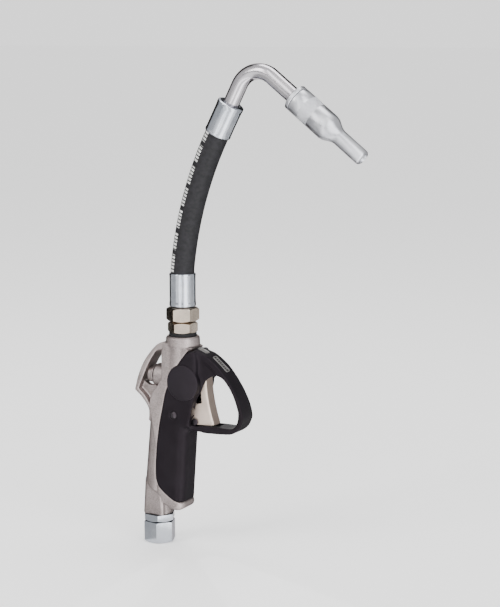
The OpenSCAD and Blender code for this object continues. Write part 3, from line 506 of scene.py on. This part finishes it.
def skinOf(mesh, voxel, passes):
    # a moulded or cast skin: the solid with every edge rounded over
    skin = worked(mesh, ("REMESH", {"mode": "VOXEL", "voxel_size": voxel * mm, "adaptivity": 0.0}))
    relax(skin, passes)
    return skin


def edged(node, name, width, paint=None, steps=3):
    # a machined piece: the node's solid with its edges broken
    mesh = worked(
        joinedMesh(node, flat=True),
        ("BEVEL", {"width": width * mm, "segments": steps, "limit_method": "ANGLE",
                   "angle_limit": math.radians(28), "use_clamp_overlap": True}),
    )
    return onBody(newPiece(name, mesh, node, paint, sharp=11), node)


def softened(outline, radius, steps=4):
    # rounds the corners of a closed outline of (along, out) points, in mm
    soft = []
    for i, here in enumerate(outline):
        here = Vector(here)
        before, after = Vector(outline[i - 1]), Vector(outline[(i + 1) % len(outline)])
        reach = min(radius, (before - here).length * 0.45, (after - here).length * 0.45)
        start = here + (before - here).normalized() * reach
        stop = here + (after - here).normalized() * reach
        for k in range(steps + 1):
            t = k / steps
            soft.append(start * (1 - t) ** 2 + here * 2 * t * (1 - t) + stop * t * t)
    return soft


def axes(direction):
    forward = Vector(direction).normalized()
    side = Vector((1, 0, 0)) if abs(forward.y) > 0.9 else Vector((0, 1, 0))
    return forward, side, side.cross(forward)


def lathed(outline, origin, direction, sides=128, shape=None):
    # turns a closed outline of (along, out) points in mm; shape(along, out, angle) may move the radius
    forward, side, other = axes(direction)
    origin = Vector(origin)
    points, faces, count = [], [], len(outline)
    for j in range(sides):
        angle = 2 * math.pi * j / sides
        spoke = side * math.cos(angle) + other * math.sin(angle)
        for along, out in outline:
            radius = shape(along, out, angle) if shape else out
            points.append(origin + (forward * along + spoke * radius) * mm)
    for j in range(sides):
        k = (j + 1) % sides
        for i in range(count):
            n = (i + 1) % count
            faces.append((j * count + i, j * count + n, k * count + n, k * count + i))
    mesh = bpy.data.meshes.new("lathed")
    mesh.from_pydata(points, [], faces)
    return outward(mesh)


def outward(mesh):
    work = bmesh.new()
    work.from_mesh(mesh)
    bmesh.ops.remove_doubles(work, verts=work.verts, dist=0.0005 * mm)
    bmesh.ops.recalc_face_normals(work, faces=work.faces)
    work.to_mesh(mesh)
    work.free()
    return mesh


def middle(node):
    low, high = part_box(node)
    return (low + high) / 2


spout = {
    "bendOne": 60, "turnOne": 6.5, "bendTwo": 355, "turnTwo": 21, "ferrule": 31.5, "legOne": 19,
    "tubeBend": 22, "tubeTurn": 100.2, "legTwo": 27.5,
}


def straight(state, length, step):
    x, z, turn = state
    count = max(1, round(length / step))
    for k in range(1, count + 1):
        d = length * k / count
        yield x + d * math.sin(turn), z + d * math.cos(turn), turn


def bend(state, radius, degrees, step):
    x, z, turn = state
    count = max(2, round(radius * math.radians(degrees) / step))
    for k in range(1, count + 1):
        now = turn + math.radians(degrees) * k / count
        across, up = math.cos(turn) - math.cos(now), math.sin(now) - math.sin(turn)
        yield x + radius * across, z + radius * up, now


def centreline(start, stretches, step):
    # points (x, z, turn from upright) in mm along straight and bent stretches
    line = [start]
    for stretch in stretches:
        make = straight if len(stretch) == 1 else bend
        line += list(make(line[-1], *stretch, step))
    return line


def sweptTube(line, outer, inner, sides, swell=None):
    # a pipe with wall and ends, unwrapped as u round it and v along it in metres
    points, faces, rounds = [], [], []
    travelled = [0.0]
    for a, b in zip(line, line[1:]):
        travelled.append(travelled[-1] + math.hypot(b[0] - a[0], b[1] - a[1]))
    for radius in (outer, inner):
        for (x, z, turn), along in zip(line, travelled):
            across, side = Vector((-math.cos(turn), 0, math.sin(turn))), Vector((0, -1, 0))
            for j in range(sides):
                angle = 2 * math.pi * j / sides
                r = radius + (swell(along, angle) if swell and radius == outer else 0)
                spoke = across * math.cos(angle) + side * math.sin(angle)
                points.append((Vector((x, 0, z)) + spoke * r) * mm)
                rounds.append((j / sides, along * mm))
    rings = len(line)

    def at(wall, i, j):
        return (wall * rings + i) * sides + j % sides

    for wall in (0, 1):
        for i in range(rings - 1):
            for j in range(sides):
                faces.append((at(wall, i, j), at(wall, i, j + 1), at(wall, i + 1, j + 1), at(wall, i + 1, j)))
    for i in (0, rings - 1):
        for j in range(sides):
            faces.append((at(0, i, j), at(0, i, j + 1), at(1, i, j + 1), at(1, i, j)))
    mesh = bpy.data.meshes.new("swept")
    mesh.from_pydata(points, [], faces)
    layer = mesh.uv_layers.new(name="along").data
    for face in mesh.polygons:
        last = any(mesh.loops[k].vertex_index % sides == sides - 1 for k in face.loop_indices)
        for k in face.loop_indices:
            u, v = rounds[mesh.loops[k].vertex_index]
            layer[k].uv = (1.0 if last and u == 0 else u, v)
    work = bmesh.new()
    work.from_mesh(mesh)
    bmesh.ops.recalc_face_normals(work, faces=work.faces)
    work.to_mesh(mesh)
    work.free()
    return mesh


hoseStart = (middle("lower_ferrule").x / mm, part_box("lower_ferrule")[1].z / mm, 0.0)
hoseBends = ((spout["bendOne"], spout["turnOne"]), (spout["bendTwo"], spout["turnTwo"]))
hoseEnd = centreline(hoseStart, hoseBends, 2)[-1]
ferruleEnd = centreline(hoseEnd, ((spout["ferrule"],),), 2)[-1]
tubeStretches = ((spout["legOne"],), (spout["tubeBend"], spout["tubeTurn"]), (spout["legTwo"],))

hoseShape = {"outer": 11.1, "inner": 6.35, "sides": 96, "ringEvery": 1.2, "grip": 20}


def makeHose():
    grip = hoseShape["grip"]
    start = (hoseStart[0], hoseStart[1] - grip, 0.0)
    line = centreline(start, ((grip,), *hoseBends, (grip,)), hoseShape["ringEvery"])
    mesh = sweptTube(line, hoseShape["outer"], hoseShape["inner"], hoseShape["sides"])
    hose = newPiece("hoseCover", mesh, "hose", sharp=50)
    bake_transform(hose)


ferruleShape = {
    "outer": 12.55, "hoseHole": 11.14, "tailHole": 8.22, "floor": 4, "lip": 0.5,
    "crimps": 8, "crimpDepth": 0.12, "crimpFrom": 4, "crimpTo": 6, "crimpEnd": 3, "rowEvery": 1.5,
}


def makeFerrule(node, name, foot, direction):
    # foot is the hose end; the closed end has a soft shoulder
    f, long, outer = ferruleShape, spout["ferrule"], ferruleShape["outer"]
    outline = softened([
        (0, f["hoseHole"]), (0, outer - 0.5), (1.2, outer - 0.05), (3.0, outer - 0.3),
        (long - 5, outer - 0.25), (long - 3.2, outer), (long - 0.9, outer), (long, outer - 1.6),
        (long, f["tailHole"]), (long - f["floor"], f["tailHole"]), (long - f["floor"], f["hoseHole"]),
    ], f["lip"])
    rows = []
    for a, b in zip(outline, outline[1:] + outline[:1]):
        count = max(1, round((b - a).length / f["rowEvery"]))
        rows += [a.lerp(b, k / count) for k in range(count)]

    def crimp(along, out, angle):
        fromFoot, fromEnd = along - f["crimpFrom"], long - f["crimpTo"] - along
        if out < outer - 1 or fromFoot <= 0 or fromEnd <= 0:
            return out
        ends = min(1, fromFoot / f["crimpEnd"], fromEnd / f["crimpEnd"])
        return out - f["crimpDepth"] * ends * (1 - abs(math.cos(f["crimps"] * angle / 2))) ** 2

    mesh = lathed(rows, foot, direction, 160, crimp)
    onBody(newPiece(name, mesh, node, sharp=40), node)


def makeHoseEnds():
    makeFerrule("lower_ferrule", "lowerFerrule", (hoseStart[0] * mm, 0, hoseStart[1] * mm), (0, 0, -1))
    x, z, lean = hoseEnd
    makeFerrule("upper_ferrule", "upperFerrule", (x * mm, 0, z * mm), (math.sin(lean), 0, math.cos(lean)))


makeHose()
makeHoseEnds()
print("hose and ferrules made")

tubeShape = {
    "outer": 7.4, "inner": 4.6, "intoTip": 6.5, "sides": 64, "ringEvery": 0.8,
    "flattened": 0.18, "creases": 3, "creaseDepth": 0.22, "creaseFrom": 0.6, "creaseSpan": 0.45,
}


def makeTube():
    look = tubeShape
    line = centreline(ferruleEnd, tubeStretches + ((look["intoTip"],),), look["ringEvery"])
    bendStart = spout["legOne"]
    bendLong = spout["tubeBend"] * math.radians(spout["tubeTurn"])

    def swell(along, angle):
        # the bend flattens a little, and its inside creases late in the turn
        t = (along - bendStart) / bendLong
        if not 0 < t < 1.15:
            return 0
        inside = max(0, -math.cos(angle)) ** 3
        flat = -look["flattened"] * abs(math.cos(angle)) ** 2 * math.sin(min(t, 1) * math.pi)
        late = math.exp(-((t - 0.82) / 0.2) ** 2)
        wave = math.cos(2 * math.pi * look["creases"] * (t - look["creaseFrom"]) / look["creaseSpan"])
        return flat + look["creaseDepth"] * inside * late * wave

    mesh = sweptTube(line, look["outer"], look["inner"], look["sides"], swell)
    onBody(newPiece("bentTube", mesh, "spout_tube", sharp=40), "spout_tube")


tipBase = Vector(jointOf["tip_twist"]["pos_m"])
tipWay = Vector(jointOf["tip_twist"]["axis"])
tipShape = {
    "collar": 4.6, "outer": 12.5, "socket": 7.42, "socketLong": 7.7, "core": 9.0, "coreLong": 36, "seam": 0.3,
    "knurlFrom": 16, "knurlTo": 27, "knurlEvery": 0.2, "grooveDepth": 0.25, "teeth": 72, "toothDepth": 0.36,
    "taperFrom": 42, "taperTo": 57.5, "endRadius": 7.2, "long": 86,
    "bore": 4.6, "seat": 46, "seatBore": 3.4, "seatFrom": 40.5,
}
tipSatin = metalPaint("satinZinc", (0.50, 0.505, 0.53), (0.38, 0.385, 0.41), 0.33,
                      blotch=80, fine=500, depth=0.00001, stretch=(0.3, 1, 1))


def makeTipCollar():
    # a ring with a long core inside the sleeve; the groove near the core's end holds the O-ring
    s = tipShape
    collar, outer, core, long = s["collar"], s["outer"], s["core"], s["coreLong"]
    outline = softened([
        (0, s["socket"]), (0, outer - 2), (1.2, outer), (collar - 0.5, outer), (collar, outer - 0.5),
        (collar, core), (long - 6, core), (long - 6, core - 1.5), (long - 3.6, core - 1.5), (long - 3.6, core),
        (long, core), (long, s["bore"]), (s["socketLong"], s["bore"]), (s["socketLong"], s["socket"]),
    ], 0.35)
    mesh = lathed(outline, tipBase, tipWay, 144)
    onBody(newPiece("tipCollar", mesh, "tip_collar", tipSatin, sharp=40), "tip_collar")


def makeTipSleeve():
    # from the seam: shoulder, groove, knurled band, groove, taper, snout, then the bore and the seat inside
    s = tipShape
    start, outer, end, long = s["collar"] + s["seam"], s["outer"], s["endRadius"], s["long"]
    knurlFrom, knurlTo, groove, hole = s["knurlFrom"], s["knurlTo"], s["outer"] - s["grooveDepth"], s["core"] + 0.06
    rows = [(start, hole), (start, outer - 0.6), (start + 0.25, outer - 0.15), (start + 0.7, outer)]
    rows += [(knurlFrom - 0.9, outer), (knurlFrom - 0.5, groove), (knurlFrom - 0.1, groove)]
    steps = round((knurlTo - knurlFrom) / s["knurlEvery"])
    rows += [(knurlFrom + (knurlTo - knurlFrom) * k / steps, outer - 0.001) for k in range(steps + 1)]
    rows += [(knurlTo + 0.1, groove), (knurlTo + 0.5, groove), (knurlTo + 0.9, outer)]
    for k in range(15):
        along = s["taperFrom"] + (s["taperTo"] - s["taperFrom"]) * k / 14
        rows.append((along, end + (outer - end) * (1 + math.cos(math.pi * k / 14)) / 2))
    rows += [(long - 2.2, end), (long - 1.2, end - 0.35), (long - 0.3, end - 1.2), (long, end - 1.7)]
    rows += [(long, s["bore"] + 0.3), (long - 0.4, s["bore"]), (s["seat"], s["bore"])]
    rows += [(s["seat"], s["seatBore"]), (s["seatFrom"], s["seatBore"]), (s["seatFrom"], hole)]

    def knurl(along, out, angle):
        if not (knurlFrom <= along <= knurlTo and abs(out - outer) < 0.01):
            return out
        run, teeth = along / outer, s["teeth"] / 2
        ridge = abs(math.sin(teeth * (angle + run))) * abs(math.sin(teeth * (angle - run)))
        return out - s["toothDepth"] * (1 - ridge)

    mesh = lathed(rows, tipBase, tipWay, 504, knurl)
    onBody(newPiece("tipSleeve", mesh, "tip_sleeve", tipSatin, sharp=38), "tip_sleeve")


makeTube()
makeTipCollar()
makeTipSleeve()
print("tube and tip made")

pivotAboveValve = 15
valveZ = jointOf["trigger_pull"]["pos_m"][2] / mm - pivotAboveValve
capLow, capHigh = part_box("left_side_cap")
capMiddle, capRadius = middle("left_side_cap") / mm, (capHigh.x - capLow.x) / 2 / mm


def nearLine(points, line):
    # distance of each point from a bent line of (x, z) in mm
    flat, far = points[:, (0, 2)] / mm, np.full(len(points), 1e9)
    for a, b in zip(line, line[1:]):
        a, b = np.array(a), np.array(b)
        t = np.clip(((flat - a) @ (b - a)) / ((b - a) @ (b - a)), 0, 1)
        far = np.minimum(far, np.linalg.norm(flat - (a + t[:, None] * (b - a)), axis=1))
    return far


castShape = {
    "voxel": 0.6, "passes": 4, "lipPasses": 60, "lipReach": 7,
    "lip": [(18, -126), (29, -128.5), (35, -124), (36, -118)],
}


def makeCasting():
    look = castShape
    skin = skinOf(joinedMesh("body_casting"), look["voxel"], look["passes"])
    far = nearLine(pointsOf(skin), [(x, valveZ + z) for x, z in look["lip"]])
    relax(skin, look["lipPasses"], 1 - ease(far, look["lipReach"] * 0.4, look["lipReach"]))
    onBody(newPiece("castBody", skin, "body_casting", sharp=60), "body_casting")


coverShape = {
    "voxel": 0.55, "passes": 8, "blendPasses": 90, "split": 0.02,
    "shoulder": [(48, -12), (51, -4), (51, 6), (50, 18), (46, 28)], "shoulderReach": 9,
    "foot": [(29, -45.3), (36, -45.3), (41, -45.3), (47, -45.5)], "footReach": 9,
}


def makeCovers():
    # both halves are shaped as one skin and then parted, so that their split stays a fine line
    look, both = coverShape, bmesh.new()
    for node in ("left_cover", "right_cover"):
        both.from_mesh(joinedMesh(node))
    mesh = bpy.data.meshes.new("covers")
    both.to_mesh(mesh)
    both.free()
    skin = skinOf(mesh, look["voxel"], look["passes"])
    points = pointsOf(skin)
    side = ease(np.abs(points[:, 1]) / mm, 5.5, 8)
    share = np.zeros(len(points))
    for line, reach in ((look["shoulder"], look["shoulderReach"]), (look["foot"], look["footReach"])):
        far = nearLine(points, [(x, valveZ + z) for x, z in line])
        share = np.maximum(share, 1 - ease(far, reach * 0.5, reach))
    fromCap = np.hypot(points[:, 0] / mm - capMiddle.x, points[:, 2] / mm - capMiddle.z)
    share *= side * ease(fromCap, capRadius - 0.3, capRadius + 1.5)
    relax(skin, look["blendPasses"], share)
    for node, name, way in (("left_cover", "leftCover", -1), ("right_cover", "rightCover", 1)):
        half = bmesh.new()
        half.from_mesh(skin)
        cut = bmesh.ops.bisect_plane(
            half, geom=half.verts[:] + half.edges[:] + half.faces[:], dist=0.0001 * mm,
            plane_co=(0, way * look["split"] * mm, 0), plane_no=(0, -way, 0), clear_outer=True)
        rim = [edge for edge in cut["geom_cut"] if isinstance(edge, bmesh.types.BMEdge)]
        bmesh.ops.triangle_fill(half, use_beauty=True, use_dissolve=False, edges=rim)
        bmesh.ops.recalc_face_normals(half, faces=half.faces)
        part = bpy.data.meshes.new(name)
        half.to_mesh(part)
        half.free()
        onBody(newPiece(name, part, node, sharp=60), node)


triggerShape = {
    "voxel": 0.35, "passes": 4, "bendPasses": 70, "bendReach": 2.6,
    "front": [
        (56.9, 4), (56.9, 0.8), (57.5, -8.9), (58.9, -17.9), (60.9, -26.8), (63.4, -35.7), (65.4, -41.5),
    ],
}


def makeTrigger():
    look = triggerShape
    skin = skinOf(joinedMesh("trigger"), look["voxel"], look["passes"])
    points = pointsOf(skin)
    far = nearLine(points, [(x, valveZ + z) for x, z in look["front"]])
    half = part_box("trigger")[1].y / mm
    nearFront = 1 - ease(far, look["bendReach"] * 0.5, look["bendReach"])
    nearSide = ease(np.abs(points[:, 1]) / mm, half - 3.4, half - 2.2)
    relax(skin, look["bendPasses"], nearFront * nearSide)
    onBody(newPiece("triggerChannel", skin, "trigger", triggerPaint(), sharp=60), "trigger")


makeCasting()
makeCovers()
makeTrigger()
print("casting, covers and trigger made")

machined = {
    "inlet_nut": ("inletNut", 0.45), "inlet_swivel_body": ("inletSwivel", 0.35),
    "outlet_adapter": ("outletAdapter", 0.4), "hose_nut": ("hoseNut", 0.45),
    "valve_rear_plug": ("rearPlug", 0.6), "latch_pin": ("latchPin", 0.35),
    "hold_open_latch": ("holdOpenLatch", 0.25), "cover_nut": ("coverNut", 0.2),
    "outlet_seal_ring": ("outletSeal", 0.3),
}
for node, (name, width) in machined.items():
    edged(node, name, width, paints["cast_nickel"] if node == "valve_rear_plug" else None)
print("fittings made")

screwShape = {"head": 3.7, "crown": 1.7, "shank": 1.9, "domeSteps": 10}


def makeScrew():
    # a domed head in its seat, with the shank behind it
    low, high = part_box("cover_screw")
    s, long, head = screwShape, (high.y - low.y) / mm, screwShape["head"]
    dome = []
    for k in range(s["domeSteps"]):
        share = k / s["domeSteps"]
        dome.append((long - 1.9 + s["crown"] * (1 - share ** 2.4), head * share + 0.01))
    outline = [(0, 0.01), (0, s["shank"]), (long - 2, s["shank"]), (long - 2, head),
               (long - 1.75, head), (long - 1.6, head - 0.12)] + dome[::-1]
    centre = middle("cover_screw")
    mesh = lathed(outline, (centre.x, high.y, centre.z), (0, -1, 0), 96)
    onBody(newPiece("coverScrew", mesh, "cover_screw", sharp=50), "cover_screw")


capShape = {"crown": 1.5, "rim": 0.55, "domeSteps": 16}


def makeCap(node, name, way):
    # a disc with a fine rim and a low dome
    low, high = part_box(node)
    foot = ((low.x + high.x) / 2, high.y if way < 0 else low.y, (low.z + high.z) / 2)
    s, rim, edge = capShape, capRadius - capShape["rim"], (high.y - low.y) / mm - capShape["crown"]
    outline = [(0, 0.01), (0, capRadius), (edge - 0.25, capRadius), (edge, capRadius - 0.1), (edge + 0.18, rim)]
    for k in range(s["domeSteps"] - 1, -1, -1):
        share = k / s["domeSteps"]
        outline.append((edge + 0.2 + (s["crown"] - 0.2) * (1 - share ** 2), max(rim * share, 0.01)))
    onBody(newPiece(name, lathed(outline, foot, (0, way, 0), 160), node, sharp=50), node)


labelShape = {"corner": 1.5, "cornerSteps": 6, "rim": 0.75, "dip": 0.22, "ribs": 7, "ribShare": 0.45}
# the darker finish of the sunk field is painted shade of the recess
labelFieldShade = metalPaint("labelFieldShade", (0.12, 0.115, 0.115), (0.07, 0.068, 0.07), 0.5, fine=2000)


def makeLabel(node, name, ribbed):
    # a plate with round corners, a raised rim and, on the longer one, a row of plain ribs
    look, source, across = labelShape, joinedMesh(node), Vector((0, 1, 0))
    flats = [face.normal for face in source.polygons if abs(face.normal.y) < 0.3]
    up = max(flats, key=lambda normal: normal.z).normalized()
    along = across.cross(up)
    points = [vertex.co.copy() for vertex in source.vertices]
    centre = sum(points, Vector()) / len(points)
    half = [max(abs((point - centre).dot(axis)) for point in points) / mm for axis in (along, across, up)]
    work = bmesh.new()

    def ring(inset, height):
        corner = max(look["corner"] - inset, 0.2)
        made = []
        for k, (sx, sy) in enumerate(((1, 1), (-1, 1), (-1, -1), (1, -1))):
            for n in range(look["cornerSteps"] + 1):
                angle = math.pi / 2 * (k + n / look["cornerSteps"])
                x = sx * (half[0] - inset - corner) + corner * math.cos(angle)
                y = sy * (half[1] - inset - corner) + corner * math.sin(angle)
                made.append(work.verts.new(centre + (along * x + across * y + up * height) * mm))
        return made

    top = half[2]
    field = top - look["dip"]
    rings = [ring(0, -top), ring(0, top - 0.15), ring(0.15, top), ring(look["rim"], top),
             ring(look["rim"] + 0.15, field)]
    for low, high in zip(rings, rings[1:]):
        for k in range(len(low)):
            n = (k + 1) % len(low)
            work.faces.new((low[k], low[n], high[n], high[k]))
    work.faces.new(rings[0][::-1])
    work.faces.new(rings[-1])
    if ribbed:
        room = 2 * (half[0] - look["rim"] - 1.4)
        for k in range(look["ribs"]):
            x = -room / 2 + room * (k + 0.5) / look["ribs"]
            wide, high = room / look["ribs"] * look["ribShare"] / 2, half[1] - look["rim"] - 0.9
            base = [centre + (along * (x + sx * wide) + across * sy * high + up * (field - 0.05)) * mm
                    for sx, sy in ((-1, -1), (1, -1), (1, 1), (-1, 1))]
            lower = [work.verts.new(point) for point in base]
            upper = [work.verts.new(point + up * look["dip"] * 0.8 * mm) for point in base]
            for a in range(4):
                work.faces.new((lower[a], lower[(a + 1) % 4], upper[(a + 1) % 4], upper[a]))
            work.faces.new(upper)
            work.faces.new(lower[::-1])
    bmesh.ops.recalc_face_normals(work, faces=work.faces)
    mesh = bpy.data.meshes.new(name)
    work.to_mesh(mesh)
    work.free()
    onBody(newPiece(name, mesh, node, sharp=30), node)
    # painted shade: the sunk field between rim and ribs is darker than both
    mesh.materials.append(labelFieldShade)
    for face in mesh.polygons:
        height = (face.center - centre).dot(up) / mm
        face.material_index = 1 if ribbed and abs(height - field) < 0.06 else 0


makeScrew()
makeCap("left_side_cap", "leftCap", -1)
makeCap("right_side_cap", "rightCap", 1)
makeLabel("upper_label_plate", "upperLabel", False)
makeLabel("lower_label_plate", "lowerLabel", True)
print("screw, caps and labels made")

print("done")
